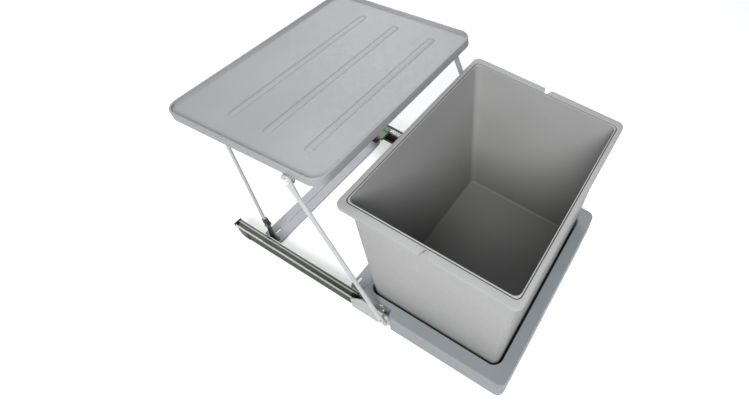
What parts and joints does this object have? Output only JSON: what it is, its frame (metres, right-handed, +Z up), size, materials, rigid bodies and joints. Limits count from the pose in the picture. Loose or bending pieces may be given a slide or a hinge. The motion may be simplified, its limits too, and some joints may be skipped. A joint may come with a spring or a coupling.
{
  "type": "built-in waste bin",
  "caption": "Pull-out waste bin for a base cabinet: bin in a tray on floor-mounted ball slides, with a linked lid that stays behind and lowers over the bin as it closes.",
  "frame": {"origin": "centre of the four floor-screw slots, on the cabinet floor", "axes": "+Z up, +Y into the cabinet (the drawer pulls out towards -Y), +X across to the right seen from the front"},
  "size_m": [0.4052, 0.63, 0.418],
  "materials": {
    "bin_plastic": "fine-grained, satin",
    "tray_plastic": "fine-grained, satin",
    "arm_paint": "satin powder coat",
    "zinc_steel": "bright zinc",
    "bright_steel": "polished",
    "crossbar_paint": "satin powder coat",
    "dark_steel": "dark phosphate",
    "black_plastic": "moulded, half gloss",
    "green_plastic": "moulded, satin",
    "nylon": "moulded, satin"
  },
  "bodies": {
    "base": {"fixed_rail_left": "zinc_steel", "rail_end_cap_left": "black_plastic", "rail_track_cap_left": "black_plastic", "rear_post_left": "dark_steel", "fixed_rail_right": "zinc_steel", "rail_end_cap_right": "black_plastic", "rail_track_cap_right": "black_plastic", "rear_post_right": "dark_steel", "rear_crossbar": "crossbar_paint", "front_crossbar": "crossbar_paint", "frame_rivets": "bright_steel", "stop_block": "green_plastic"},
    "drawer": {"tray": "tray_plastic", "bin": "bin_plastic", "tray_screws": "bright_steel", "bracket_screws": "bright_steel", "inner_rail_left": "zinc_steel", "side_bracket_left": "zinc_steel", "arm_spacer_left": "nylon", "arm_pin_left": "bright_steel", "inner_rail_right": "zinc_steel", "side_bracket_right": "zinc_steel", "arm_spacer_right": "nylon", "arm_pin_right": "bright_steel"},
    "lid": {"lid": "bin_plastic", "lid_bush_left": "nylon", "lid_hinge_left": "zinc_steel", "lid_hinge_pin_left": "bright_steel", "lid_bush_right": "nylon", "lid_hinge_right": "zinc_steel", "lid_hinge_pin_right": "bright_steel"},
    "ball_cage_left": {"ball_cage_left": "bright_steel", "bearing_balls_left": "bright_steel"},
    "front_arm_left": {"front_arm_left": "arm_paint", "arm_head_rivet_left": "bright_steel"},
    "rear_arm_left": {"rear_rod_left": "arm_paint", "rod_fork_left": "dark_steel", "fork_bolt_left": "bright_steel"},
    "ball_cage_right": {"ball_cage_right": "bright_steel", "bearing_balls_right": "bright_steel"},
    "front_arm_right": {"front_arm_right": "arm_paint", "arm_head_rivet_right": "bright_steel"},
    "rear_arm_right": {"rear_rod_right": "arm_paint", "rod_fork_right": "dark_steel", "fork_bolt_right": "bright_steel"}
  },
  "joints": [
    {"name": "drawer_slide", "type": "slide", "parent": "base", "child": "drawer", "axis": [0, 1, 0], "range_m": [0, 0.226]},
    {"name": "ball_cage_left_slide", "type": "slide", "parent": "base", "child": "ball_cage_left", "axis": [0, 1, 0], "range_m": [0, 0.114]},
    {"name": "ball_cage_right_slide", "type": "slide", "parent": "base", "child": "ball_cage_right", "axis": [0, 1, 0], "range_m": [0, 0.114]},
    {"name": "front_arm_left_pivot", "type": "hinge", "parent": "drawer", "child": "front_arm_left", "pos_m": [-0.199, -0.212, 0.064], "axis": [1, 0, 0], "range_deg": [0, 51.38]},
    {"name": "front_arm_right_pivot", "type": "hinge", "parent": "drawer", "child": "front_arm_right", "pos_m": [0.199, -0.212, 0.064], "axis": [1, 0, 0], "range_deg": [0, 51.38]},
    {"name": "rear_arm_left_pivot", "type": "hinge", "parent": "base", "child": "rear_arm_left", "pos_m": [-0.158, 0.097, 0.06], "axis": [1, 0, 0], "range_deg": [0, 14.26]},
    {"name": "rear_arm_right_pivot", "type": "hinge", "parent": "base", "child": "rear_arm_right", "pos_m": [0.158, 0.097, 0.06], "axis": [1, 0, 0], "range_deg": [0, 14.26]},
    {"name": "lid_hinge_pivot", "type": "hinge", "parent": "rear_arm_left", "child": "lid", "pos_m": [-0.14, 0.16081, 0.35989], "axis": [1, 0, 0], "range_deg": [-8.54, 0]}
  ],
  "couplings": [
    {"joint": "ball_cage_left_slide", "follows": "drawer_slide", "ratio": 0.5},
    {"joint": "ball_cage_right_slide", "follows": "drawer_slide", "ratio": 0.5},
    {"joint": "front_arm_left_pivot", "follows": "drawer_slide", "rad_per_m": 3.9664},
    {"joint": "front_arm_right_pivot", "follows": "drawer_slide", "rad_per_m": 3.9664},
    {"joint": "rear_arm_left_pivot", "follows": "drawer_slide", "rad_per_m": 1.0998},
    {"joint": "rear_arm_right_pivot", "follows": "drawer_slide", "rad_per_m": 1.0998},
    {"joint": "lid_hinge_pivot", "follows": "drawer_slide", "rad_per_m": -0.65767}
  ]
}
